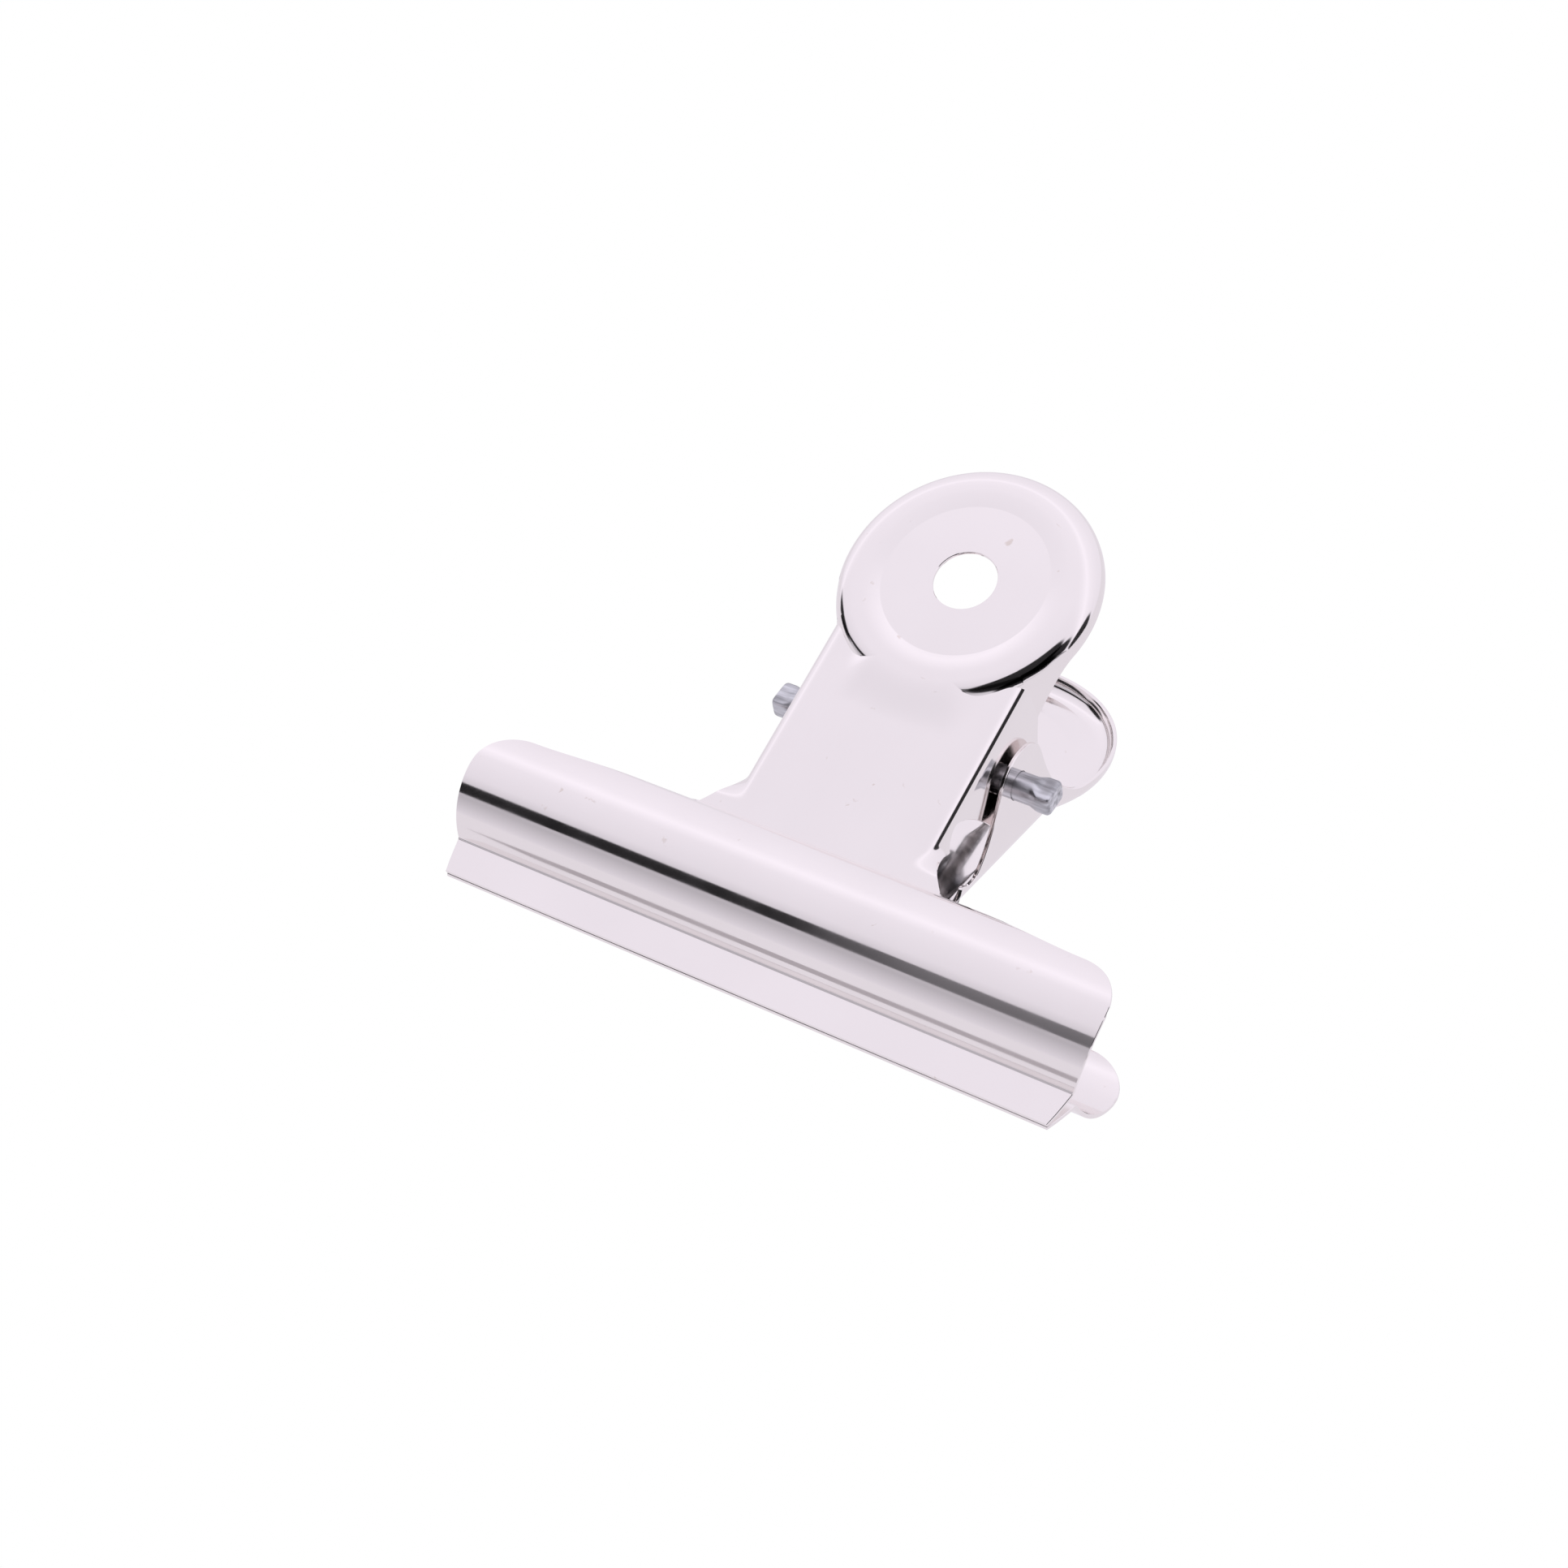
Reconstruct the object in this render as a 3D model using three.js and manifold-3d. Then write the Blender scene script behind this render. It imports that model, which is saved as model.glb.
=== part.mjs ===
// Spring-loaded binder clip: two pressed sheet plates, a pivot pin and a hidden torsion spring.
// Plate frame: x along the jaws, u from the lip crease to the finger disc, n out of the plate.
import * as THREE from "three";
import Module from "manifold-3d";

const wasm = await Module();
wasm.setup();

const DEG = Math.PI / 180;
const V = (x, y, z) => new THREE.Vector3(x, y, z);

// Driving dimensions, millimetres and degrees
const SHEET = 0.43;
const JAW_HALF = 37.5;
const LIP = { reach: 3.83, rise: 0.18, half: 35.8 };
const BARREL = { r: 8.5, u: 7.5, n: -4, from: 151.9, to: 58 };
const SHOULDER = { r: 1.8, u: 11.05, n: 1.68, to: 20 };
const WALL_FOOT = 13.87;
const NECK_N = -0.8;
const CORNER_R = 5;
const CORNER_S = 12.5;
const BEND_R = 1.8;
const FRONT_HALF = 11.6;
const BACK_HALF = 12.6;
const NOTCH = { depth: 6.67, width: 7 };
const PIN = { u: 31.3, n: -9.51, r: 1.6, half: 17, flat: 2.6, wide: 3.5, thick: 2.4 };
const PIN_BORE_R = 1.66;
const FRONT_EAR = { u: 31.8, n: -10.2, r: 5.2, fall: 2.4 };
const BACK_EAR = { u: 32, n: -9.3, r: 4.45, fall: 2.6 };
const DISC = { u: 47.3, r: 14.5, round: 2.2, depth: 2.4, hole: 3.55 };
const DISH = { r: 9.18, to: 11.3, n: -0.18 };
const HALF_ANGLE = 14.68;
const SPRING = { wire: 0.85, coil: 3, turns: 5, pitch: 2.1, leg: 13, gap: 0.4 };

const SHOULDER_S = LIP.reach + BARREL.r * (BARREL.from - BARREL.to) * DEG;
const WALL_TOP = {
  u: SHOULDER.u + SHOULDER.r * Math.cos(SHOULDER.to * DEG),
  n: SHOULDER.n + SHOULDER.r * Math.sin(SHOULDER.to * DEG),
};
const WALL_S = SHOULDER_S + SHOULDER.r * (BARREL.to - SHOULDER.to) * DEG;
const FOOT_S = WALL_S + Math.hypot(WALL_FOOT - WALL_TOP.u, WALL_TOP.n - NECK_N);

const clamp = (t) => Math.min(1, Math.max(0, t));
const smooth = (t) => clamp(t) ** 2 * (3 - 2 * clamp(t));
const mix = (a, b, t) => a + (b - a) * t;
const steps = (a, b, n) => Array.from({ length: n + 1 }, (_, i) => mix(a, b, i / n));

// Cross-section of the jaw: outer surface at arc length s from the lip's free edge.
function jawProfile(s) {
  if (s <= LIP.reach) {
    const t = s / LIP.reach;
    return [-LIP.reach * (1 - t), LIP.rise * (1 - t)];
  }
  if (s <= SHOULDER_S) {
    const a = (BARREL.from - (s - LIP.reach) / BARREL.r / DEG) * DEG;
    return [BARREL.u + BARREL.r * Math.cos(a), BARREL.n + BARREL.r * Math.sin(a)];
  }
  if (s <= WALL_S) {
    const a = (BARREL.to - (s - SHOULDER_S) / SHOULDER.r / DEG) * DEG;
    return [SHOULDER.u + SHOULDER.r * Math.cos(a), SHOULDER.n + SHOULDER.r * Math.sin(a)];
  }
  const t = clamp((s - WALL_S) / (FOOT_S - WALL_S));
  return [mix(WALL_TOP.u, WALL_FOOT, t) + Math.max(0, s - FOOT_S), mix(WALL_TOP.n, NECK_N, t)];
}

// Half length of the jaw at arc length s, below the wing corners.
const jawHalf = (s) => mix(LIP.half, JAW_HALF, Math.sin(clamp(s / CORNER_S) * 90 * DEG) ** 0.9);

// Free upper edge of a wing, as arc length, x measured with the notch moved to the plate's width.
function wingEdge(x, shift) {
  const corner = JAW_HALF - CORNER_R;
  if (x >= corner) return CORNER_S + Math.sqrt(Math.max(0, CORNER_R ** 2 - (x - corner) ** 2));
  const rise = 1.5 * ((corner - x) / 12.5) ** 1.5;
  const d = clamp((x - shift - 12.1) / NOTCH.width);
  return CORNER_S + CORNER_R + rise + NOTCH.depth * (1 - d ** 0.55) ** 1.35;
}

// Lower outline of the flange, ear and disc skirt along u.
const earRim = (ear, a) => ({ u: ear.u - ear.r * Math.cos(a * DEG), n: ear.n - ear.r * Math.sin(a * DEG) });
function flangeLow(u, ear) {
  const [first, last] = [earRim(ear, 18), earRim(ear, 156)];
  if (u <= first.u) return mix(-2, first.n, clamp((u - 20) / (first.u - 20)) ** ear.fall);
  if (u <= last.u) return ear.n - Math.sqrt(ear.r ** 2 - (u - ear.u) ** 2);
  return mix(-DISC.depth, last.n, clamp((44 - u) / (44 - last.u)) ** 2);
}

const bendAngle = (u) => 90 * DEG * smooth((u - 15.5) / 5.5);

// Point of the neck at unrolled distance a beyond the start of the side bend.
function bent(start, a, angle) {
  const arc = BEND_R * angle;
  const turn = Math.min(a / BEND_R, angle);
  const rest = Math.max(0, a - arc);
  const x = start + BEND_R * Math.sin(turn) + rest * Math.cos(angle);
  return [x, NECK_N - BEND_R * (1 - Math.cos(turn)) - rest * Math.sin(angle)];
}

// Unrolled width of bend and flange where the free edge is at depth low.
function bendLength(angle, low) {
  const drop = NECK_N - BEND_R * (1 - Math.cos(angle)) - low;
  return BEND_R * angle + Math.max(0, drop) / Math.sin(angle);
}

// A skin of triangles whose vertices are shared by position.
class Skin {
  constructor() {
    this.points = [];
    this.faces = [];
    this.seen = new Map();
  }
  vertex(p) {
    const key = [p.x, p.y, p.z].map((c) => Math.round(c * 500)).join();
    if (!this.seen.has(key)) {
      this.seen.set(key, this.points.length);
      this.points.push(p.clone());
    }
    return this.seen.get(key);
  }
  face(a, b, c) {
    if (a !== b && b !== c && a !== c) this.faces.push([a, b, c]);
  }
  // Patch over rows and columns, with its mirror image in x.
  patch(rows, columns, at) {
    const grid = (side) => rows.map((r, i) => columns.map((c, j) => {
      const p = at(r, c, i, j);
      return this.vertex(V(p.x * side, p.y, p.z));
    }));
    for (const side of [1, -1]) {
      const g = grid(side);
      for (let i = 0; i + 1 < rows.length; i += 1) {
        for (let j = 0; j + 1 < columns.length; j += 1) {
          const q = [g[i][j], g[i][j + 1], g[i + 1][j + 1], g[i + 1][j]];
          if (side < 0) q.reverse();
          this.face(q[0], q[1], q[2]);
          this.face(q[0], q[2], q[3]);
        }
      }
    }
  }
  // Closed body: the skin, its copy pushed inwards by the sheet thickness, and the rim between.
  thicken(t) {
    const normals = this.points.map(() => V(0, 0, 0));
    const faceNormal = ([a, b, c]) => {
      const [p, q, r] = [this.points[a], this.points[b], this.points[c]];
      return q.clone().sub(p).cross(r.clone().sub(p)).normalize();
    };
    const corner = (f, k) => {
      const [p, q, r] = [f[k], f[(k + 1) % 3], f[(k + 2) % 3]].map((v) => this.points[v]);
      return q.clone().sub(p).angleTo(r.clone().sub(p));
    };
    for (const f of this.faces) {
      f.forEach((v, k) => normals[v].addScaledVector(faceNormal(f), corner(f, k)));
    }
    normals.forEach((n) => n.normalize());
    const reach = normals.map(() => [0, 0]);
    for (const f of this.faces) {
      const n = faceNormal(f);
      f.forEach((v, k) => {
        reach[v][0] += corner(f, k) * Math.max(0.4, n.dot(normals[v]));
        reach[v][1] += corner(f, k);
      });
    }
    const count = this.points.length;
    const inner = this.points.map((p, i) =>
      p.clone().addScaledVector(normals[i], (-t * reach[i][1]) / reach[i][0]));
    const faces = [...this.faces, ...this.faces.map(([a, b, c]) => [a + count, c + count, b + count])];
    const edges = new Set(this.faces.flatMap(([a, b, c]) => [`${a},${b}`, `${b},${c}`, `${c},${a}`]));
    for (const e of edges) {
      const [a, b] = e.split(",").map(Number);
      if (!edges.has(`${b},${a}`)) {
        faces.push([a, a + count, b], [b, a + count, b + count]);
      }
    }
    return solid([...this.points, ...inner], faces);
  }
}

function solid(points, faces) {
  const vertProperties = Float32Array.from(points.flatMap((p) => [p.x, p.y, p.z]));
  const mesh = new wasm.Mesh({ numProp: 3, vertProperties, triVerts: Uint32Array.from(faces.flat()) });
  mesh.merge();
  return new wasm.Manifold(mesh);
}

// One pressed plate: lip, barrel, wings, neck with side flanges and ears, finger disc.
function plateSkin(half, ear) {
  const skin = new Skin();
  const shift = half - FRONT_HALF;
  const start = half - BEND_R;
  const notchEnd = 14.7 + shift;
  const core = [0, 5, 6.7, 8.3, start];
  const bendCount = 3;
  const band = steps(0, 1, bendCount + 2);
  const knee = band[bendCount];

  // Jaw rows up to the foot of the wall
  const jawRows = [
    0,
    ...steps(LIP.reach, SHOULDER_S, 9),
    ...steps(SHOULDER_S, WALL_S, 2).slice(1),
    ...steps(WALL_S, FOOT_S, 2).slice(1),
  ];
  const across = [...core, ...steps(start, notchEnd, bendCount + 2).slice(1)];
  skin.patch(jawRows, across, (s, x) => {
    const [u, n] = jawProfile(s);
    return V(x, u, n);
  });

  // Wings, with their rows drawn together towards the free edge
  const corner = JAW_HALF - CORNER_R;
  const wing = [
    ...steps(notchEnd, 19.5 + shift, 3),
    ...steps(19.5 + shift, corner, 2).slice(1),
    ...steps(0, 90, 4).slice(1).map((a) => corner + CORNER_R * Math.sin(a * DEG)),
  ];
  skin.patch(jawRows, wing, (row, x) => {
    const top = x === notchEnd ? FOOT_S : Math.min(FOOT_S, wingEdge(x, shift));
    const s = row <= CORNER_S ? row : mix(CORNER_S, top, (row - CORNER_S) / (FOOT_S - CORNER_S));
    const share = (x - notchEnd) / (JAW_HALF - notchEnd);
    const taper = 1 - share * (1 - jawHalf(Math.min(s, CORNER_S)) / JAW_HALF);
    const [u, n] = jawProfile(s);
    return V(x * taper, u, n);
  });

  // Neck rows: the notch fillet, the flange, and the ear arc by angle
  const notchRows = steps(0, 1, 4).map((t) => {
    const x = mix(notchEnd, 12.1 + shift, 1 - (1 - t) ** 1.6);
    const s = t === 0 ? FOOT_S : wingEdge(x, shift);
    return { u: WALL_FOOT + s - FOOT_S, edge: x };
  });
  const last = notchRows.at(-1).u;
  const meet = DISC.u - Math.sqrt(DISC.r ** 2 - half ** 2);
  const flankRows = [
    ...steps(last, earRim(ear, 18).u, 6).slice(1),
    ...steps(18, 156, 9).slice(1).map((a) => earRim(ear, a).u),
    ...steps(earRim(ear, 156).u, meet, 3).slice(1),
  ];
  const neckRows = [...notchRows, ...flankRows.map((u) => ({ u }))];
  const edgeLength = (row) => {
    const angle = bendAngle(row.u);
    const flat = bendLength(Math.max(angle, 0.3), flangeLow(row.u, ear));
    const x = row.edge ?? 12.1 + shift;
    const reach = (x - start - BEND_R * Math.sin(angle)) / Math.max(0.3, Math.cos(angle));
    const open = BEND_R * angle + reach;
    return mix(open, flat, smooth((row.u - last) / 3));
  };
  // The neck's last rows bow to the edge of the disc.
  const ringStep = (x) => NECK_N * smooth((Math.abs(x) - 4.5) / 3.5);
  const ringR = (drop) => DISC.r - DISC.round + Math.sqrt(DISC.round ** 2 - (DISC.round + drop) ** 2);
  const bow = (x, u, n) => {
    const rise = ringStep(x);
    const r = ringR(Math.max(n + rise - NECK_N, -DISC.round));
    const ring = DISC.u - Math.sqrt(Math.max(0, r * r - x * x));
    const along = u > 24 ? 24 + ((u - 24) * (ring - 24)) / (meet - 24) : u;
    const lift = smooth((u - (meet - 7)) / 7) * (rise - NECK_N);
    return V(x, along, n + lift);
  };
  skin.patch(neckRows, core, (row, x) => bow(x, row.u, NECK_N));
  skin.patch(neckRows, band, (row, t, i) => {
    if (i === 0) return V(mix(start, notchEnd, t), WALL_FOOT, NECK_N);
    const angle = bendAngle(row.u);
    const length = edgeLength(row);
    const arc = BEND_R * angle;
    const crest = arc + 0.4 * (length - arc) * (1 - angle / 90 / DEG);
    const a = t <= knee ? (t / knee) * crest : mix(crest, length, (t - knee) / (1 - knee));
    const [x, n] = bent(start, a, angle);
    return bow(x, row.u, n);
  });

  // Finger disc: spokes from the hang hole, first against the neck, then round the free rim
  const spoke = (angle, r, n) => V(r * Math.sin(angle), DISC.u - r * Math.cos(angle), n);
  const flat = [DISC.hole, DISH.r, mix(DISH.r, DISH.to, 0.4), DISH.to, DISC.r - DISC.round];
  const dish = (r) => DISH.n * clamp((DISH.to - r) / (DISH.to - DISH.r)) ** 2;
  const rimSteps = 4;
  const ringAngle = (x, drop) => Math.asin(x / ringR(drop));
  const kneeRows = band.slice(0, bendCount + 1).map((t) => {
    const [x, n] = bent(start, (t / knee) * BEND_R * 90 * DEG, 90 * DEG);
    return { x, drop: Math.max(n, -DISC.round), end: n };
  });
  const neckSpokes = [
    ...core.map((x) => ({ x, drop: ringStep(x), end: ringStep(x) })),
    ...kneeRows.slice(1),
  ];
  const rim = (angle, end, t) => {
    const turn = Math.acos(clamp(1 + Math.max(end, -DISC.round) / DISC.round)) * t;
    const r = DISC.r - DISC.round + DISC.round * Math.sin(turn);
    const down = -DISC.round * (1 - Math.cos(turn));
    return spoke(angle, r, end < -DISC.round ? mix(down, end, t ** 6) : down);
  };
  const spokePoint = (angle, end, k) => {
    if (k < flat.length) return spoke(angle, flat[k], dish(flat[k]));
    return rim(angle, end, (k - flat.length + 1) / rimSteps);
  };
  const radial = steps(0, flat.length + rimSteps - 1, flat.length + rimSteps - 1);
  skin.patch(neckSpokes, radial, (s, k) => spokePoint(ringAngle(s.x, s.drop), s.end, Math.round(k)));

  const first = Math.asin(half / DISC.r);
  const freeSpokes = steps(first, Math.PI, 13);
  const kneeEnd = kneeRows.at(-1).end;
  const freeRadial = [...radial, radial.at(-1) + 1, radial.at(-1) + 2];
  skin.patch(freeSpokes, freeRadial, (angle, k) => {
    const u = DISC.u - DISC.r * Math.cos(angle);
    const low = flangeLow(u, ear);
    const end = Math.max(kneeEnd, mix(kneeEnd, low + 0.3, smooth((angle - first) / 0.4)));
    if (k <= radial.at(-1)) return spokePoint(angle, end, Math.round(k));
    return spoke(angle, DISC.r, mix(end, low, (k - radial.at(-1)) / 2));
  });
  return skin;
}

function fromGeometry(g) {
  const vertProperties = new Float32Array(g.attributes.position.array);
  const mesh = new wasm.Mesh({ numProp: 3, vertProperties, triVerts: new Uint32Array(g.index.array) });
  mesh.merge();
  return new wasm.Manifold(mesh);
}

function toGeometry(manifold) {
  const mesh = manifold.getMesh();
  const geometry = new THREE.BufferGeometry();
  geometry.setAttribute("position", new THREE.BufferAttribute(mesh.vertProperties, 3));
  geometry.setIndex(new THREE.BufferAttribute(mesh.triVerts, 1));
  return geometry;
}

const roundX = (r, length, taper = 1) =>
  fromGeometry(new THREE.CylinderGeometry(r * taper, r, length, 20).rotateZ(-90 * DEG));

// Plate with its pin bores, origin on the pin axis.
function plate(half, ear) {
  const sheet = plateSkin(half, ear).thicken(SHEET);
  return sheet.translate([0, -PIN.u, -PIN.n]).subtract(roundX(PIN_BORE_R, 60));
}

// Pin: round rod whose two ends are squeezed flat beyond the ears.
function pivotPin() {
  const waist = 2 * (PIN.half - PIN.flat);
  const block = fromGeometry(new THREE.BoxGeometry(PIN.flat, PIN.wide, PIN.thick));
  const blank = roundX(PIN.wide / 2, PIN.flat, 0.8);
  const tip = block.intersect(blank).translate([PIN.half - PIN.flat / 2 - 0.01, 0, 0]);
  return roundX(PIN.r, waist).add(tip).add(tip.mirror([1, 0, 0]));
}

// Torsion spring round the pin, its two legs under the finger ends of the plates.
function torsionSpring() {
  const room = PIN.n * -1 + NECK_N - SHEET - SPRING.wire - SPRING.gap;
  const reach = Math.hypot(SPRING.coil, SPRING.leg);
  const lean = HALF_ANGLE * DEG + Math.asin(room / reach) - Math.atan(SPRING.coil / SPRING.leg);
  const from = 90 * DEG + lean;
  const wrap = 360 * DEG * SPRING.turns + 360 * DEG - 2 * from;
  const half = ((wrap / DEG / 360) * SPRING.pitch) / 2;
  const coil = steps(0, 1, 70).map((t) => {
    const a = from + wrap * t;
    return V(mix(-half, half, t), SPRING.coil * Math.cos(a), SPRING.coil * Math.sin(a));
  });
  const tip = (p, side) => {
    const out = V(0, Math.cos(lean), side * Math.sin(lean));
    return p.clone().addScaledVector(out, SPRING.leg);
  };
  const path = [tip(coil[0], 1), ...coil, tip(coil.at(-1), -1)];
  return sweep(path, SPRING.wire, 8);
}

// Round wire along a path that runs mostly square to x.
function sweep(path, r, sides) {
  const points = path.flatMap((p, i) => {
    const before = path[Math.max(0, i - 1)];
    const after = path[Math.min(path.length - 1, i + 1)];
    const along = after.clone().sub(before).normalize();
    const across = V(1, 0, 0).addScaledVector(along, -along.x).normalize();
    const third = along.clone().cross(across);
    return steps(0, 360, sides).slice(1).map((a) => p.clone()
      .addScaledVector(across, r * Math.cos(a * DEG))
      .addScaledVector(third, r * Math.sin(a * DEG)));
  });
  const faces = [];
  for (let i = 0; i + 1 < path.length; i += 1) {
    for (let j = 0; j < sides; j += 1) {
      const [a, b] = [i * sides + j, i * sides + ((j + 1) % sides)];
      faces.push([a, b, b + sides], [a, b + sides, a + sides]);
    }
  }
  const end = points.length - sides;
  for (let j = 1; j + 1 < sides; j += 1) {
    faces.push([0, j + 1, j], [end, end + j, end + j + 1]);
  }
  return solid(points, faces);
}

function named(name, manifold, color, roughness) {
  const material = new THREE.MeshStandardMaterial({ name, color, metalness: 1, roughness });
  const mesh = new THREE.Mesh(toGeometry(manifold), material);
  mesh.name = name;
  return mesh;
}

// The clip lies on its back plate, touching at the barrel and at the rim of the finger disc.
function assembly() {
  const front = named("front_plate", plate(FRONT_HALF, FRONT_EAR), 0xe6dde3, 0.15);
  front.rotation.x = HALF_ANGLE * DEG;
  const back = named("back_plate", plate(BACK_HALF, BACK_EAR), 0xe2d9df, 0.15);
  back.rotation.set(-HALF_ANGLE * DEG, Math.PI, 0);
  const pin = named("pivot_pin", pivotPin(), 0x9a9da2, 0.4);
  const spring = named("torsion_spring", torsionSpring(), 0xb9bbbf, 0.3);
  const clip = new THREE.Group();
  clip.add(front, back, pin, spring);
  const rimU = DISC.u + DISC.r - DISC.round - BARREL.u;
  const rimN = -DISC.round - BARREL.n;
  const slope = Math.asin((BARREL.r - DISC.round) / Math.hypot(rimU, rimN)) - Math.atan2(rimN, rimU);
  clip.rotation.x = HALF_ANGLE * DEG - slope;
  const group = new THREE.Group();
  group.name = "binder_clip";
  group.add(clip);
  group.updateMatrixWorld(true);
  const box = new THREE.Box3().setFromObject(group, true);
  clip.position.set(0, -(box.min.y + box.max.y) / 2, -box.min.z);
  return group;
}

export default assembly();
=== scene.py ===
"""Looks of the spring-loaded binder clip: nickel-plated sheet plates, zinc pin and hidden spring."""

import math

import bpy
import numpy as np
from mathutils import Euler, Matrix, Vector


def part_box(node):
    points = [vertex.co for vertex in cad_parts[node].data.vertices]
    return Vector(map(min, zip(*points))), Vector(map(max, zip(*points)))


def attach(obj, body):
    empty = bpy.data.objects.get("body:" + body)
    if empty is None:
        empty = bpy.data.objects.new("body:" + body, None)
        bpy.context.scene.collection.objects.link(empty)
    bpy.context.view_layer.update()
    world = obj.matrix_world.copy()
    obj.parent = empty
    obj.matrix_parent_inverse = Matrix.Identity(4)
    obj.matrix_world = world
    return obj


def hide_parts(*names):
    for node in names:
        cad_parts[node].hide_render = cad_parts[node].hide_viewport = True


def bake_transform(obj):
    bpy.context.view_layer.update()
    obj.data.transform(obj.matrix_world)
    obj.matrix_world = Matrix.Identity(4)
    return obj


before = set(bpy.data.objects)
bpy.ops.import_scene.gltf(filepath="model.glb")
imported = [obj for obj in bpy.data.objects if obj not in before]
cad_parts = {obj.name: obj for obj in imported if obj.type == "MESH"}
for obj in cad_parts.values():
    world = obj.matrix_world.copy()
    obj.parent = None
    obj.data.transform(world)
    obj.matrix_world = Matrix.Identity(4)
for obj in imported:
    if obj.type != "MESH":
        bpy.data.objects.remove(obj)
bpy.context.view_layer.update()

MM = 0.001
DEG = math.pi / 180

# Dimensions of the part, millimetres and degrees
SHEET = 0.43
JAW_HALF = 37.5
LIP_REACH, LIP_RISE, LIP_HALF = 3.83, 0.18, 35.8
BARREL_R, BARREL_U, BARREL_N, BARREL_FROM, BARREL_TO = 8.5, 7.5, -4.0, 151.9, 58.0
SHOULDER_R, SHOULDER_U, SHOULDER_N, SHOULDER_TO = 1.8, 11.05, 1.68, 20.0
WALL_FOOT = 13.87
NECK_N = -0.8
CORNER_R, CORNER_S = 5.0, 12.5
BEND_R = 1.8
FRONT_HALF, BACK_HALF = 11.6, 12.6
NOTCH_FROM, NOTCH_TO, NOTCH_DEPTH, NOTCH_WIDTH = 12.1, 14.7, 6.67, 7.0
WING_BEND = 19.5
PIN_U, PIN_N, PIN_R, PIN_BORE_R, PIN_HALF, PIN_FLAT = 31.3, -9.51, 1.6, 1.66, 17.0, 2.6
# Squeezed pin end: half width, half thickness, squareness, length of the change, cut-face radius
PIN_WIDE, PIN_THICK, PIN_SQUARE, PIN_CHANGE, PIN_EDGE = 1.74, 1.3, 0.34, 1.3, 0.45
# Ear centre u and n, its radius, and how late the flange drops towards it
FRONT_EAR = (31.8, -10.2, 5.2, 2.4)
BACK_EAR = (32.0, -9.3, 4.45, 2.6)
DISC_U, DISC_R, DISC_ROUND, DISC_DEPTH, DISC_HOLE = 47.3, 14.5, 2.2, 2.4, 3.55
DISH_R, DISH_TO, DISH_N = 9.18, 11.3, -0.18
# Angles at which an ear's round edge starts and ends, and u from which the neck bows to the disc
EAR_FROM, EAR_TO, BOW_FROM = 18, 156, 24
HALF_ANGLE = 14.68
WIRE_R, COIL_R, SPRING_TURNS, SPRING_PITCH, SPRING_LEG, SPRING_GAP = 0.85, 3.0, 5, 2.1, 13.0, 0.4

SHOULDER_S = LIP_REACH + BARREL_R * (BARREL_FROM - BARREL_TO) * DEG
WALL_TOP_U = SHOULDER_U + SHOULDER_R * math.cos(SHOULDER_TO * DEG)
WALL_TOP_N = SHOULDER_N + SHOULDER_R * math.sin(SHOULDER_TO * DEG)
WALL_S = SHOULDER_S + SHOULDER_R * (BARREL_TO - SHOULDER_TO) * DEG
FOOT_S = WALL_S + math.hypot(WALL_FOOT - WALL_TOP_U, WALL_TOP_N - NECK_N)


def clamp(t):
    return min(1.0, max(0.0, t))


def smooth(t):
    t = clamp(t)
    return t * t * (3 - 2 * t)


def mix(a, b, t):
    return a + (b - a) * t


def steps(a, b, n):
    return [mix(a, b, i / n) for i in range(n + 1)]


# ---------------------------------------------------------------- plate surface
def profile_sharp(s):
    """Outer surface of the jaw at arc length s from the free edge of the lip, as (u, n)."""
    if s <= LIP_REACH:
        t = s / LIP_REACH
        return -LIP_REACH * (1 - t), LIP_RISE * (1 - t)
    if s <= SHOULDER_S:
        a = (BARREL_FROM - (s - LIP_REACH) / BARREL_R / DEG) * DEG
        return BARREL_U + BARREL_R * math.cos(a), BARREL_N + BARREL_R * math.sin(a)
    if s <= WALL_S:
        a = (BARREL_TO - (s - SHOULDER_S) / SHOULDER_R / DEG) * DEG
        return SHOULDER_U + SHOULDER_R * math.cos(a), SHOULDER_N + SHOULDER_R * math.sin(a)
    t = clamp((s - WALL_S) / (FOOT_S - WALL_S))
    return mix(WALL_TOP_U, WALL_FOOT, t) + max(0.0, s - FOOT_S), mix(WALL_TOP_N, NECK_N, t)


def profile(s):
    """The same with the two creases rounded to a small press radius."""
    for crease, reach in ((LIP_REACH, 0.3), (FOOT_S, 0.35)):
        room = reach - abs(s - crease)
        if room > 0:
            parts = [profile_sharp(s + room * k / 4) for k in range(-4, 5)]
            return sum(p[0] for p in parts) / 9, sum(p[1] for p in parts) / 9
    return profile_sharp(s)


def jaw_half(s):
    return mix(LIP_HALF, JAW_HALF, math.sin(clamp(s / CORNER_S) * 90 * DEG) ** 0.9)


def wing_edge(x, shift):
    corner = JAW_HALF - CORNER_R
    if x >= corner:
        return CORNER_S + math.sqrt(max(0.0, CORNER_R**2 - (x - corner) ** 2))
    rise = 1.5 * ((corner - x) / 12.5) ** 1.5
    d = clamp((x - shift - NOTCH_FROM) / NOTCH_WIDTH)
    return CORNER_S + CORNER_R + rise + NOTCH_DEPTH * (1 - d**0.55) ** 1.35


def ear_rim(ear, angle):
    """Point of the ear's free edge, angle measured from the jaw side."""
    return ear[0] - ear[2] * math.cos(angle * DEG), ear[1] - ear[2] * math.sin(angle * DEG)


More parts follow.
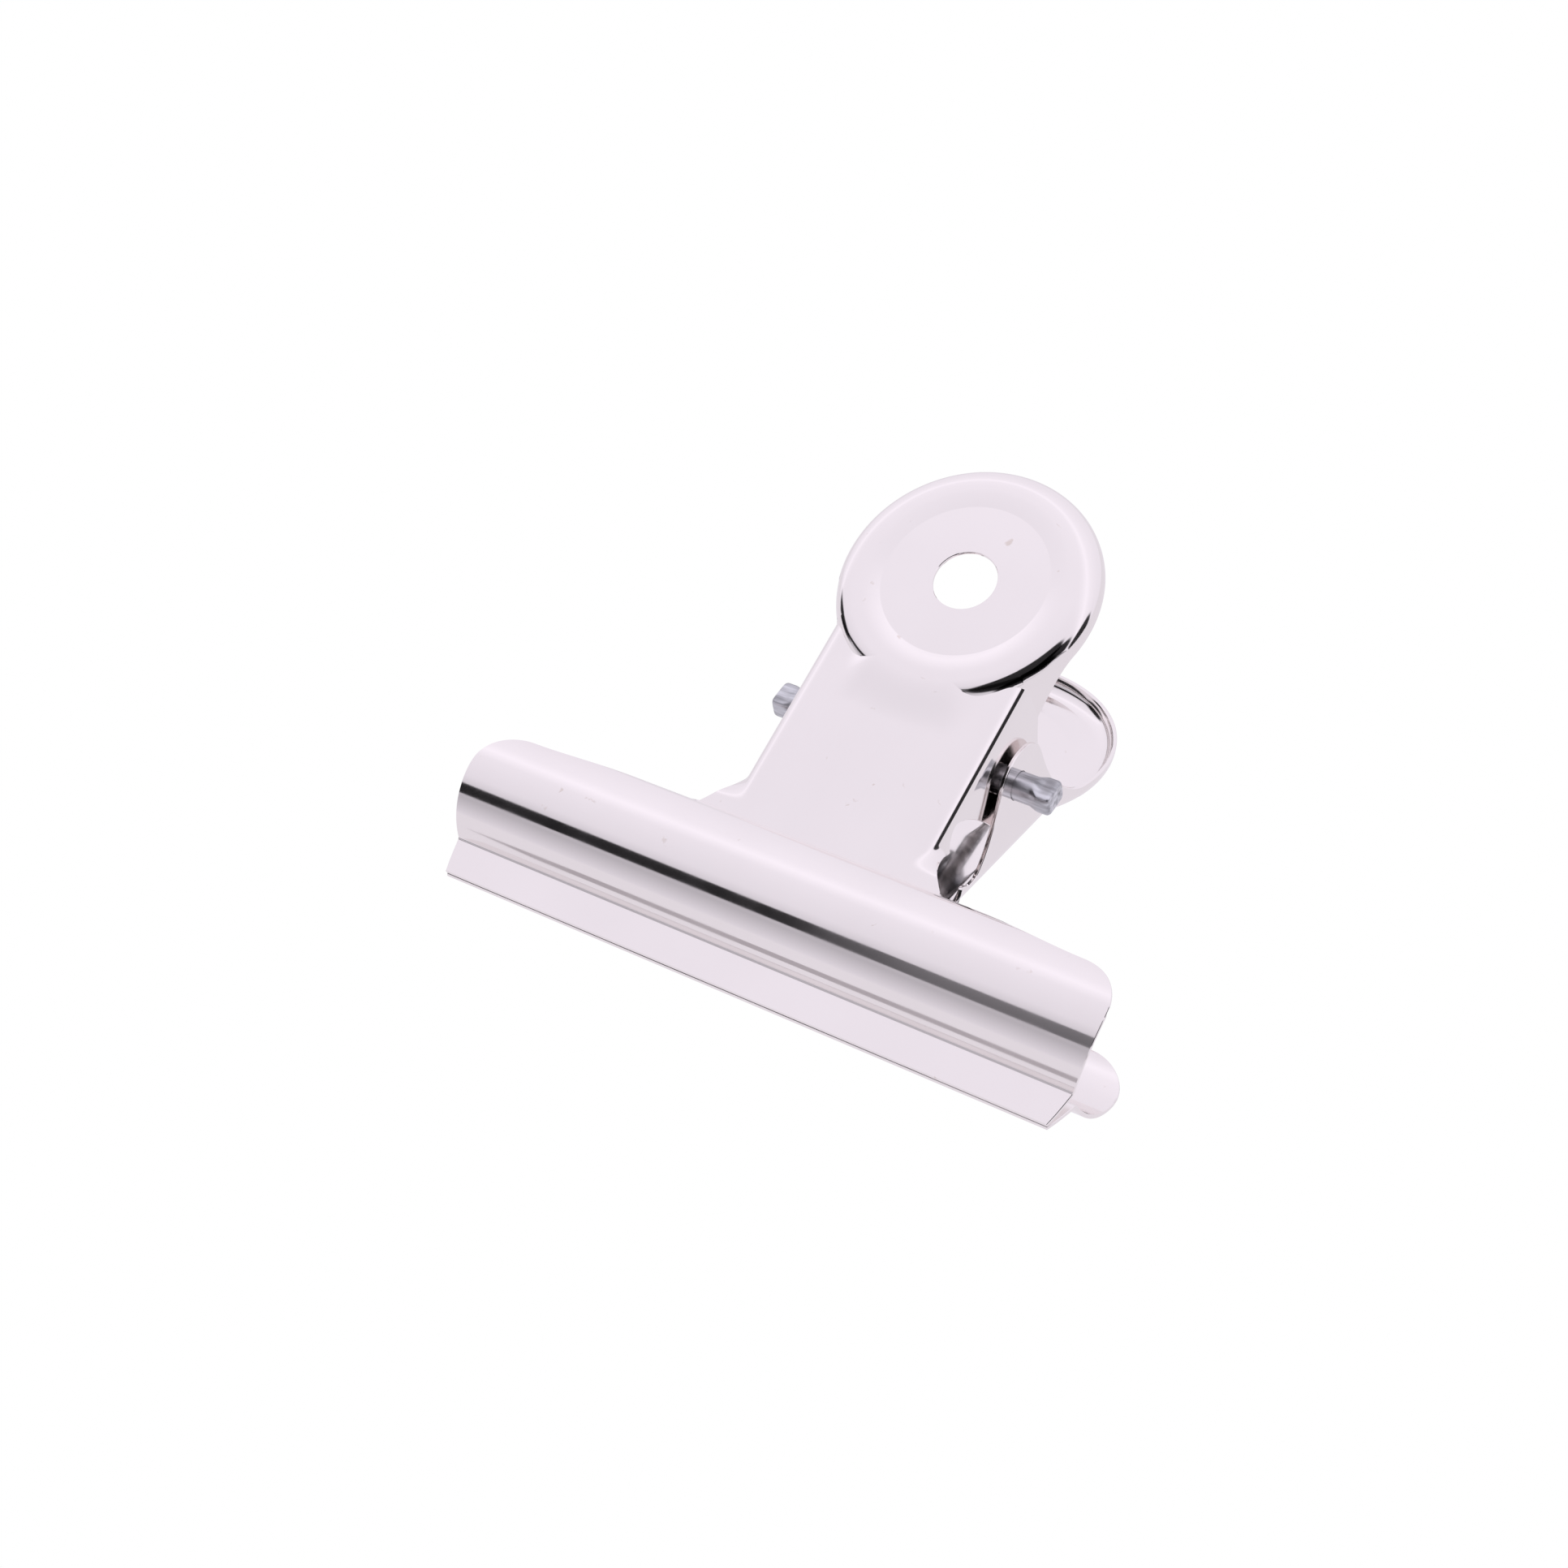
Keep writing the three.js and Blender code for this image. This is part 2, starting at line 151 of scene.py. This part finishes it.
def flange_low(u, ear):
    """Lower outline of flange, ear and disc skirt."""
    first, last = ear_rim(ear, EAR_FROM), ear_rim(ear, EAR_TO)
    if u <= first[0]:
        return mix(-2.0, first[1], clamp((u - 20) / (first[0] - 20)) ** ear[3])
    if u <= last[0]:
        return ear[1] - math.sqrt(ear[2] ** 2 - (u - ear[0]) ** 2)
    return mix(-DISC_DEPTH, last[1], clamp((44 - u) / (44 - last[0])) ** 2)


def bend_angle(u):
    return 90 * DEG * smooth((u - 15.5) / 5.5)


def bent(start, a, angle):
    arc = BEND_R * angle
    turn = min(a / BEND_R, angle)
    rest = max(0.0, a - arc)
    x = start + BEND_R * math.sin(turn) + rest * math.cos(angle)
    return x, NECK_N - BEND_R * (1 - math.cos(turn)) - rest * math.sin(angle)


def bend_length(angle, low):
    drop = NECK_N - BEND_R * (1 - math.cos(angle)) - low
    return BEND_R * angle + max(0.0, drop) / math.sin(angle)


class Skin:
    """Quads whose vertices are shared by position."""

    def __init__(self):
        self.points, self.faces, self.seen = [], [], {}

    def vertex(self, p):
        key = tuple(round(c * 2000) for c in p)
        if key not in self.seen:
            self.seen[key] = len(self.points)
            self.points.append(p)
        return self.seen[key]

    def patch(self, rows, columns, at):
        grid = [[at(r, c, i) for c in columns] for i, r in enumerate(rows)]
        for side in (1, -1):
            ids = [[self.vertex((p[0] * side, p[1], p[2])) for p in line] for line in grid]
            for a, b in zip(ids, ids[1:]):
                for j in range(len(columns) - 1):
                    q = [a[j], a[j + 1], b[j + 1], b[j]]
                    if side < 0:
                        q.reverse()
                    q = [v for k, v in enumerate(q) if v != q[k - 1]]
                    if len(q) > 2:
                        self.faces.append(q)

    def thicken(self, t):
        """Points and faces of the closed sheet: skin, its copy pushed in by t, and a rounded rim."""
        p = np.array(self.points)
        n = np.zeros_like(p)
        norms = []
        for f in self.faces:
            d = np.cross(p[f[2]] - p[f[0]], p[f[-1]] - p[f[1]])
            length = np.linalg.norm(d)
            norms.append(d / length if length > 1e-12 else np.zeros(3))
            n[f] += norms[-1]
        n /= np.linalg.norm(n, axis=1)[:, None]
        lean, count = np.zeros(len(p)), np.zeros(len(p))
        for f, d in zip(self.faces, norms):
            lean[f] += np.maximum(0.5, n[f] @ d)
            count[f] += 1
        inner = p - n * (t * count / lean)[:, None]
        edges = {(f[k - 1], f[k]) for f in self.faces for k in range(len(f))}
        border = [(a, b) for a, b in edges if (b, a) not in edges]
        points = [p, inner]
        faces = list(self.faces) + [[v + len(p) for v in reversed(f)] for f in self.faces]
        out = {}
        for a, b in border:
            away = np.cross(p[b] - p[a], n[a] + n[b])
            away /= max(np.linalg.norm(away), 1e-12)
            for v in (a, b):
                out[v] = out.get(v, np.zeros(3)) + away
        rim, extra = {}, []
        base = 2 * len(p)
        for v, away in out.items():
            away = away / max(np.linalg.norm(away), 1e-12)
            rim[v] = [v]
            for share, bulge in ((0.12, 0.05), (0.5, 0.075), (0.88, 0.05)):
                rim[v].append(base + len(extra))
                extra.append(mix(p[v], inner[v], share) + away * bulge)
            rim[v].append(v + len(p))
        for a, b in border:
            for k in range(4):
                faces.append([rim[a][k], rim[a][k + 1], rim[b][k + 1], rim[b][k]])
        points.append(np.array(extra))
        return np.concatenate(points), faces


def ring_step(x):
    """Height at which the neck meets the disc: flush in the middle, a step down at the sides."""
    return NECK_N * smooth((abs(x) - 4.5) / 3.5)


def ring_r(drop):
    return DISC_R - DISC_ROUND + math.sqrt(max(0.0, DISC_ROUND**2 - (DISC_ROUND + drop) ** 2))


def spoke(angle, r, n):
    return r * math.sin(angle), DISC_U - r * math.cos(angle), n


def plate_skin(half, ear):
    """One pressed plate: lip, barrel, wings, neck with side flanges and ears, finger disc."""
    skin = Skin()
    shift = half - FRONT_HALF
    start = half - BEND_R
    notch_end = NOTCH_TO + shift
    if start > 10.6:
        core = steps(0, 10, 20) + steps(10, start, 3)[1:]
    else:
        core = steps(0, start, 21)
    bend_count, flange_count = 10, 10
    band = steps(0, 1, bend_count + flange_count)
    knee = band[bend_count]

    jaw_rows = (
        steps(0, LIP_REACH - 0.3, 3)
        + steps(LIP_REACH - 0.3, LIP_REACH + 0.3, 8)[1:]
        + steps(LIP_REACH + 0.3, SHOULDER_S - 0.6, 36)[1:]
        + steps(SHOULDER_S - 0.6, WALL_S, 14)[1:]
        + steps(WALL_S, FOOT_S - 0.35, 8)[1:]
        + steps(FOOT_S - 0.35, FOOT_S, 4)[1:]
    )

    def jaw_point(s, x):
        return (x, *profile(s))

    across = core + steps(start, notch_end, bend_count + flange_count)[1:]
    skin.patch(jaw_rows, across, lambda s, x, i: jaw_point(s, x))

    corner = JAW_HALF - CORNER_R
    wing = (
        steps(notch_end, WING_BEND + shift, 14)
        + steps(WING_BEND + shift, corner, 14)[1:]
        + [corner + CORNER_R * math.sin(a * DEG) for a in steps(0, 90, 18)[1:]]
    )

    def wing_point(row, x, _):
        if x == notch_end:
            return jaw_point(row, x)
        top = min(FOOT_S, wing_edge(x, shift))
        s = row if row <= CORNER_S else mix(CORNER_S, top, (row - CORNER_S) / (FOOT_S - CORNER_S))
        share = (x - notch_end) / (JAW_HALF - notch_end)
        taper = 1 - share * (1 - jaw_half(min(s, CORNER_S)) / JAW_HALF)
        return jaw_point(s, x * taper)

    skin.patch(jaw_rows, wing, wing_point)

    rows = []
    for t in steps(0, 1, 16):
        x = mix(notch_end, NOTCH_FROM + shift, 1 - (1 - t) ** 1.6)
        s = FOOT_S if t == 0 else wing_edge(x, shift)
        rows.append((WALL_FOOT + s - FOOT_S, x))
    last = rows[-1][0]
    meet = DISC_U - math.sqrt(DISC_R**2 - half**2)
    flank = (
        steps(last, ear_rim(ear, EAR_FROM)[0], 26)[1:]
        + [ear_rim(ear, a)[0] for a in steps(EAR_FROM, EAR_TO, 40)[1:]]
        + steps(ear_rim(ear, EAR_TO)[0], meet, 14)[1:]
    )
    rows += [(u, None) for u in flank]

    def bow(x, u, n):
        rise = ring_step(x)
        r = ring_r(max(n + rise - NECK_N, -DISC_ROUND))
        ring = DISC_U - math.sqrt(max(0.0, r * r - x * x))
        along = u
        if u > BOW_FROM:
            along = BOW_FROM + (u - BOW_FROM) * (ring - BOW_FROM) / (meet - BOW_FROM)
        lift = smooth((u - (meet - 7)) / 7) * (rise - NECK_N)
        return x, along, n + lift

    def neck_point(row, x, i):
        if i == 0:
            return jaw_point(FOOT_S, x)
        return bow(x, row[0], NECK_N)

    skin.patch(rows, core, neck_point)

    def band_point(row, t, i):
        u, edge = row
        if i == 0:
            return jaw_point(FOOT_S, mix(start, notch_end, t))
        angle = bend_angle(u)
        flat = bend_length(max(angle, 0.3), flange_low(u, ear))
        x = NOTCH_FROM + shift if edge is None else edge
        reach = (x - start - BEND_R * math.sin(angle)) / max(0.3, math.cos(angle))
        length = mix(BEND_R * angle + reach, flat, smooth((u - last) / 3))
        arc = BEND_R * angle
        crest = arc + 0.4 * (length - arc) * (1 - angle / 90 / DEG)
        a = t / knee * crest if t <= knee else mix(crest, length, (t - knee) / (1 - knee))
        x, n = bent(start, a, angle)
        return bow(x, u, n)

    skin.patch(rows, band, band_point)

    # Finger disc
    flat = (
        steps(DISC_HOLE, DISH_R - 0.06, 4)
        + [DISH_R, DISH_R + 0.06]
        + steps(DISH_R + 0.3, DISH_TO, 5)
        + steps(DISH_TO, DISC_R - DISC_ROUND, 2)[1:]
    )
    rim_steps = 14
    knee_rows = []
    for t in band[: bend_count + 1]:
        x, n = bent(start, t / knee * BEND_R * 90 * DEG, 90 * DEG)
        knee_rows.append((x, max(n, -DISC_ROUND), n))
    neck_spokes = [(x, ring_step(x), ring_step(x)) for x in core] + knee_rows[1:]

    def spoke_point(angle, end, k):
        if k < len(flat):
            low = DISH_N * clamp((DISH_TO - flat[k]) / (DISH_TO - DISH_R)) ** 2
            return spoke(angle, flat[k], low)
        t = (k - len(flat) + 1) / rim_steps
        turn = math.acos(clamp(1 + max(end, -DISC_ROUND) / DISC_ROUND)) * t
        r = DISC_R - DISC_ROUND + DISC_ROUND * math.sin(turn)
        down = -DISC_ROUND * (1 - math.cos(turn))
        return spoke(angle, r, mix(down, end, t**6) if end < -DISC_ROUND else down)

    radial = list(range(len(flat) + rim_steps))
    skin.patch(neck_spokes, radial,
               lambda s, k, _: spoke_point(math.asin(s[0] / ring_r(s[1])), s[2], k))

    first = math.asin(half / DISC_R)
    knee_end = knee_rows[-1][2]
    count = len(radial) - 1

    def free_point(angle, k, _):
        low = flange_low(DISC_U - DISC_R * math.cos(angle), ear)
        end = max(knee_end, mix(knee_end, low + 0.3, smooth((angle - first) / 0.4)))
        if k <= count:
            return spoke_point(angle, end, k)
        return spoke(angle, DISC_R, mix(end, low, (k - count) / flange_count))

    skin.patch(steps(first, math.pi, 64), list(range(count + flange_count + 1)), free_point)
    return skin


# ---------------------------------------------------------------- placing
pin_low, pin_high = (Vector(v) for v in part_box("pivot_pin"))
PIN_AT = (pin_low + pin_high) / 2
RIM_U = DISC_U + DISC_R - DISC_ROUND - BARREL_U
RIM_N = -DISC_ROUND - BARREL_N
SLOPE = math.asin((BARREL_R - DISC_ROUND) / math.hypot(RIM_U, RIM_N)) - math.atan2(RIM_N, RIM_U)
TILT = 2 * HALF_ANGLE * DEG - SLOPE
FRONT_TURN = Matrix.Rotation(TILT, 4, "X")
BACK_TURN = Matrix.Rotation(-SLOPE, 4, "X") @ Matrix.Rotation(math.pi, 4, "Y")
MID_TURN = Matrix.Rotation(HALF_ANGLE * DEG - SLOPE, 4, "X")


def mesh_object(name, points, faces, material, turn, sharp=60):
    """Object whose vertices are the points (mm, about the pin) turned into the part's frame."""
    mesh = bpy.data.meshes.new(name)
    place = Matrix.Translation(PIN_AT) @ turn @ Matrix.Scale(MM, 4)
    mesh.from_pydata([place @ Vector(p) for p in points], [], faces)
    mesh.validate()
    mesh.polygons.foreach_set("use_smooth", [True] * len(mesh.polygons))
    mesh.set_sharp_from_angle(angle=sharp * DEG)
    obj = bpy.data.objects.new(name, mesh)
    bpy.context.scene.collection.objects.link(obj)
    mesh.materials.append(material)
    return obj


def apply_modifiers(obj, sharp=None):
    graph = bpy.context.evaluated_depsgraph_get()
    mesh = bpy.data.meshes.new_from_object(obj.evaluated_get(graph))
    obj.modifiers.clear()
    obj.data = mesh
    if sharp:
        mesh.set_sharp_from_angle(angle=sharp * DEG)


def tube_faces(rings, sides):
    """Faces of a closed tube whose points are given ring by ring."""
    faces = []
    for i in range(rings - 1):
        for k in range(sides):
            j = (k + 1) % sides
            faces.append([i * sides + k, i * sides + j, (i + 1) * sides + j, (i + 1) * sides + k])
    faces.append(list(range(sides))[::-1])
    faces.append([(rings - 1) * sides + k for k in range(sides)])
    return faces


def circle(sides):
    """Cosine and sine of evenly spaced angles."""
    angles = [2 * math.pi * k / sides for k in range(sides)]
    return [(math.cos(a), math.sin(a)) for a in angles]


def rod(length, r, sides):
    """Points and faces of a plain rod along x."""
    points = [(x, r * c, r * s) for x in (-length / 2, length / 2) for c, s in circle(sides)]
    return points, tube_faces(2, sides)


# ---------------------------------------------------------------- materials
def node_material(name):
    material = bpy.data.materials.new(name)
    material.use_nodes = True
    tree = material.node_tree
    return material, tree, tree.nodes["Principled BSDF"]


def noise(tree, scale, detail=3.0, stretch=None, distortion=0.0):
    coord = tree.nodes.new("ShaderNodeTexCoord")
    mapping = tree.nodes.new("ShaderNodeMapping")
    mapping.inputs["Scale"].default_value = stretch or (1, 1, 1)
    tree.links.new(coord.outputs["Object"], mapping.inputs["Vector"])
    tex = tree.nodes.new("ShaderNodeTexNoise")
    tex.inputs["Scale"].default_value = scale
    tex.inputs["Detail"].default_value = detail
    tex.inputs["Distortion"].default_value = distortion
    tree.links.new(mapping.outputs["Vector"], tex.inputs["Vector"])
    return tex


def ramp(tree, source, stops):
    node = tree.nodes.new("ShaderNodeValToRGB")
    els = node.color_ramp.elements
    while len(els) < len(stops):
        els.new(0.5)
    for el, (at, colour) in zip(els, stops):
        el.position = at
        el.color = (*colour, 1) if isinstance(colour, tuple) else (colour, colour, colour, 1)
    tree.links.new(source, node.inputs["Fac"])
    return node


def bump(tree, source, strength, distance, below=None):
    node = tree.nodes.new("ShaderNodeBump")
    node.inputs["Strength"].default_value = strength
    node.inputs["Distance"].default_value = distance
    tree.links.new(source, node.inputs["Height"])
    if below:
        tree.links.new(below.outputs["Normal"], node.inputs["Normal"])
    return node


def nickel():
    """Bright nickel plate over cold-rolled sheet: faint waviness, haze, fine scratches and stains."""
    material, tree, shader = node_material("nickel_plate")
    shader.inputs["Metallic"].default_value = 1.0
    haze = noise(tree, 90, 4)
    base = ramp(tree, haze.outputs["Fac"], [(0.3, (0.895, 0.858, 0.85)), (0.7, (0.915, 0.878, 0.87))])
    stain = noise(tree, 700, 3, distortion=0.3)
    mask = ramp(tree, stain.outputs["Fac"], [(0.72, 0.0), (0.80, 0.7)])
    mixer = tree.nodes.new("ShaderNodeMix")
    mixer.data_type = "RGBA"
    mixer.inputs["B"].default_value = (0.70, 0.62, 0.56, 1)
    tree.links.new(mask.outputs["Color"], mixer.inputs["Factor"])
    tree.links.new(base.outputs["Color"], mixer.inputs["A"])
    tree.links.new(mixer.outputs["Result"], shader.inputs["Base Color"])
    rough = ramp(tree, noise(tree, 150, 6).outputs["Fac"], [(0.3, 0.05), (0.75, 0.13)])
    tree.links.new(rough.outputs["Color"], shader.inputs["Roughness"])
    wavy = noise(tree, 45, 2)
    grain = noise(tree, 900, 2, stretch=(0.15, 1, 1))
    first = bump(tree, wavy.outputs["Fac"], 0.05, 0.0004)
    second = bump(tree, grain.outputs["Fac"], 0.03, 0.00002, first)
    tree.links.new(second.outputs["Normal"], shader.inputs["Normal"])
    return material


def zinc(name, tone, streak):
    """Drawn steel wire, zinc plated: dull, streaked along its length."""
    material, tree, shader = node_material(name)
    shader.inputs["Metallic"].default_value = 1.0
    lines = noise(tree, 1400, 5, stretch=streak)
    base = ramp(tree, lines.outputs["Fac"], [(0.3, tuple(c * 0.45 for c in tone)), (0.62, tone)])
    tree.links.new(base.outputs["Color"], shader.inputs["Base Color"])
    rough = ramp(tree, lines.outputs["Fac"], [(0.3, 0.5), (0.7, 0.28)])
    tree.links.new(rough.outputs["Color"], shader.inputs["Roughness"])
    bumps = bump(tree, lines.outputs["Fac"], 0.35, 0.00006)
    tree.links.new(bumps.outputs["Normal"], shader.inputs["Normal"])
    return material


NICKEL = nickel()
PIN_METAL = zinc("zinc_rod", (0.70, 0.71, 0.75), (0.12, 1, 1))
WIRE_METAL = zinc("spring_wire", (0.55, 0.55, 0.56), (0.6, 1, 1))


# ---------------------------------------------------------------- pieces
def make_plate(name, node, half, ear, turn, body):
    points, faces = plate_skin(half, ear).thicken(SHEET)
    points = points - np.array([0, PIN_U, PIN_N])
    plate = mesh_object(name, points, faces, NICKEL, turn)
    bore, bore_faces = rod(60, PIN_BORE_R, 48)
    cutter = mesh_object("bore_cutter", bore, bore_faces, NICKEL, turn)
    cut = plate.modifiers.new("bore", "BOOLEAN")
    cut.object = cutter
    cut.solver = "EXACT"
    apply_modifiers(plate, 28)
    bpy.data.objects.remove(cutter)
    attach(plate, body)
    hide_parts(node)


make_plate("nickel_front_plate", "front_plate", FRONT_HALF, FRONT_EAR, FRONT_TURN, "front")
make_plate("nickel_back_plate", "back_plate", BACK_HALF, BACK_EAR, BACK_TURN, "back")


def square_off(c, half):
    """One coordinate of a rounded square, from the cosine or sine of the angle."""
    return math.copysign(abs(c) ** PIN_SQUARE, c) * half


def make_pin():
    """Round rod, squeezed between two dies at each end, with its cut faces rounded off."""
    sides = 48
    flat = PIN_HALF - PIN_FLAT
    stations = [(x, 0.0, 1.0) for x in steps(0, flat, 30)]
    stations += [(flat + PIN_CHANGE * t, smooth(t), 1.0) for t in steps(0, 1, 10)[1:]]
    stations += [(x, 1.0, 1.0) for x in steps(flat + PIN_CHANGE, PIN_HALF - PIN_EDGE, 3)[1:]]
    for a in steps(0, 90 * DEG, 4)[1:]:
        x = PIN_HALF - PIN_EDGE + PIN_EDGE * math.sin(a)
        stations.append((x, 1.0, 0.82 + 0.18 * math.cos(a)))
    full = [(-x, squash, size) for x, squash, size in reversed(stations[1:])] + stations
    points = []
    for x, squash, size in full:
        for c, s in circle(sides):
            y = mix(PIN_R * c, square_off(c, PIN_WIDE) * 0.97, squash) * size
            z = mix(PIN_R * s, square_off(s, PIN_THICK), squash) * size
            points.append((x, y, z))
    faces = tube_faces(len(full), sides)
    pin = mesh_object("zinc_pivot_pin", points, faces, PIN_METAL, MID_TURN, 40)
    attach(pin, "pin")
    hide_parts("pivot_pin")


make_pin()


def make_spring():
    """Coil of wire round the pin, whose two legs press the disc ends of the plates apart."""
    room = -PIN_N + NECK_N - SHEET - WIRE_R - SPRING_GAP
    lean = (HALF_ANGLE * DEG + math.asin(room / math.hypot(COIL_R, SPRING_LEG))
            - math.atan(COIL_R / SPRING_LEG))
    begin = 90 * DEG + lean
    wrap = 2 * math.pi * (SPRING_TURNS + 1) - 2 * begin
    half = wrap / (2 * math.pi) * SPRING_PITCH / 2
    coil = []
    for t in steps(0, 1, 260):
        a = begin + wrap * t
        coil.append(Vector((mix(-half, half, t), COIL_R * math.cos(a), COIL_R * math.sin(a))))
    legs = []
    for p, side in ((coil[0], 1), (coil[-1], -1)):
        out = Vector((0, math.cos(lean), side * math.sin(lean)))
        legs.append([p + out * SPRING_LEG * t for t in steps(0, 1, 12)[1:]])
    path = legs[0][::-1] + coil + legs[1]
    sides = 16
    points = []
    for i, p in enumerate(path):
        along = (path[min(i + 1, len(path) - 1)] - path[max(i - 1, 0)]).normalized()
        across = (Vector((1, 0, 0)) - along * along.x).normalized()
        third = along.cross(across)
        for c, s in circle(sides):
            points.append(p + across * WIRE_R * c + third * WIRE_R * s)
    faces = tube_faces(len(path), sides)
    spring = mesh_object("wire_torsion_spring", points, faces, WIRE_METAL, MID_TURN, 50)
    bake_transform(spring)
    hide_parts("torsion_spring")


make_spring()


# ---------------------------------------------------------------- studio
WHITE = (1, 1, 1)
# Azimuth from +Y towards +X, elevation, full and outer half-width of each dark thing round the tent
DARK_SPOTS = [(140, 38, 26, 30), (126, 12, 20, 25), (110, 24, 16, 20), (75, 8, 12, 16), (-100, 10, 8, 14)]
# Brightness of the tent round the jaws' axis, from level in front over the top to level behind
TENT = [(0.0, 0.78), (0.13, 0.50), (0.24, 0.70), (0.31, 0.84), (0.50, 0.92), (0.575, 1.06),
        (0.64, 0.98), (0.80, 0.93), (1.0, 0.9)]
# Start and end of the dark gap, degrees above level in front, and how soft its edges are
GAP_FROM, GAP_TO, GAP_SOFT = 28.7, 43.7, 0.6


def card(name, points, faces, colour, strength, camera_only):
    """Glowing card of the studio, seen either by the camera alone or by the metal alone."""
    mesh = bpy.data.meshes.new(name)
    mesh.from_pydata(points, [], faces)
    obj = bpy.data.objects.new(name, mesh)
    bpy.context.scene.collection.objects.link(obj)
    material, tree, shader = node_material(name)
    shader.inputs["Base Color"].default_value = (0, 0, 0, 1)
    shader.inputs["Specular IOR Level"].default_value = 0
    shader.inputs["Emission Color"].default_value = (*colour, 1)
    shader.inputs["Emission Strength"].default_value = strength
    mesh.materials.append(material)
    obj.visible_camera = camera_only
    obj.visible_glossy = obj.visible_diffuse = not camera_only
    obj.visible_shadow = False


def plane(name, corners, z, colour, strength, camera_only):
    points = [(x, y, z) for x, y in corners]
    card(name, points, [list(range(len(points)))], colour, strength, camera_only)


def world_light():
    """White tent round the clip, made of long strips parallel to the jaws, with a dark gap in front."""
    world = bpy.data.worlds.new("studio")
    bpy.context.scene.world = world
    world.use_nodes = True
    tree = world.node_tree
    link = tree.links.new
    coord = tree.nodes.new("ShaderNodeTexCoord").outputs["Generated"]
    split = tree.nodes.new("ShaderNodeSeparateXYZ")
    link(coord, split.inputs["Vector"])

    def math_node(kind, a, b=None):
        node = tree.nodes.new("ShaderNodeMath")
        node.operation = kind
        for socket, value in zip(node.inputs, (a, b)):
            if isinstance(value, (int, float)):
                socket.default_value = value
            elif value is not None:
                link(value, socket)
        return node.outputs["Value"]

    def between(value, low, high, soft):
        """1 between two values, falling to 0 over the soft margin at each."""
        out = None
        for edge, sign in ((low, 1), (high, -1)):
            span = tree.nodes.new("ShaderNodeMapRange")
            span.interpolation_type = "SMOOTHSTEP"
            span.inputs["From Min"].default_value = edge - sign * soft
            span.inputs["From Max"].default_value = edge + sign * soft
            link(value, span.inputs["Value"])
            step = span.outputs["Result"]
            out = step if out is None else math_node("MULTIPLY", out, step)
        return out

    x, y, z = (split.outputs[k] for k in "XYZ")
    tilt = math_node("MULTIPLY", math_node("ARCTAN2", z, math_node("MULTIPLY", y, -1.0)), 1 / DEG)
    ring = math_node("MULTIPLY", tilt, 1 / 180)
    tent = ramp(tree, ring, TENT)
    gap = between(tilt, GAP_FROM, GAP_TO, GAP_SOFT)
    left = between(x, -2.0, -0.40, 0.03)
    depth = math_node("ADD", math_node("MULTIPLY", left, 0.24), 0.73)
    gap_light = math_node("SUBTRACT", 1.0, math_node("MULTIPLY", gap, depth))

    def blob(azimuth, elevation, inner, outer):
        a, e = azimuth * DEG, elevation * DEG
        dot = tree.nodes.new("ShaderNodeVectorMath")
        dot.operation = "DOT_PRODUCT"
        towards = (math.sin(a) * math.cos(e), math.cos(a) * math.cos(e), math.sin(e))
        dot.inputs[1].default_value = towards
        link(coord, dot.inputs[0])
        span = tree.nodes.new("ShaderNodeMapRange")
        span.interpolation_type = "SMOOTHSTEP"
        span.inputs["From Min"].default_value = math.cos(outer * DEG)
        span.inputs["From Max"].default_value = math.cos(inner * DEG)
        span.inputs["To Min"].default_value = 1.0
        span.inputs["To Max"].default_value = 0.03
        link(dot.outputs["Value"], span.inputs["Value"])
        return span.outputs["Result"]

    level = math_node("MULTIPLY", tent.outputs["Color"], gap_light)
    for where in DARK_SPOTS:
        level = math_node("MULTIPLY", level, blob(*where))
    back = tree.nodes["Background"]
    back.inputs["Color"].default_value = (1.0, 0.955, 1.045, 1)
    link(level, back.inputs["Strength"])


def studio():
    table = [(-4, -4), (4, -4), (4, 4), (-4, 4)]
    seam = [(-0.053, -0.0555), (-0.04, -0.05), (0.36, -0.05), (0.36, -0.062), (-0.04, -0.062)]
    plane("floor", table, -0.0002, WHITE, 1.0, True)
    plane("table_bounce", table, -0.0004, (1, 0.955, 1.03), 0.82, False)
    plane("table_seam", seam, 0.0001, (1, 0.92, 1), 0.44, False)
    points, faces = rod(5.0, 3.0, 48)
    card("backdrop", [(y, z, x) for x, y, z in points], faces, WHITE, 1.0, True)
    world_light()


studio()

# ---------------------------------------------------------------- camera
camera_data = bpy.data.cameras.new("camera")
camera_data.sensor_width = 36
camera_data.lens = 66.112
camera_data.clip_start = 0.01
camera = bpy.data.objects.new("camera", camera_data)
bpy.context.scene.collection.objects.link(camera)
camera.location = (0.1235814, -0.1990134, 0.2052731)
camera.rotation_euler = Euler((50.108995 * DEG, 2.424694 * DEG, 32.815581 * DEG), "XYZ")
bpy.context.scene.camera = camera
bpy.context.scene.view_settings.view_transform = "Standard"
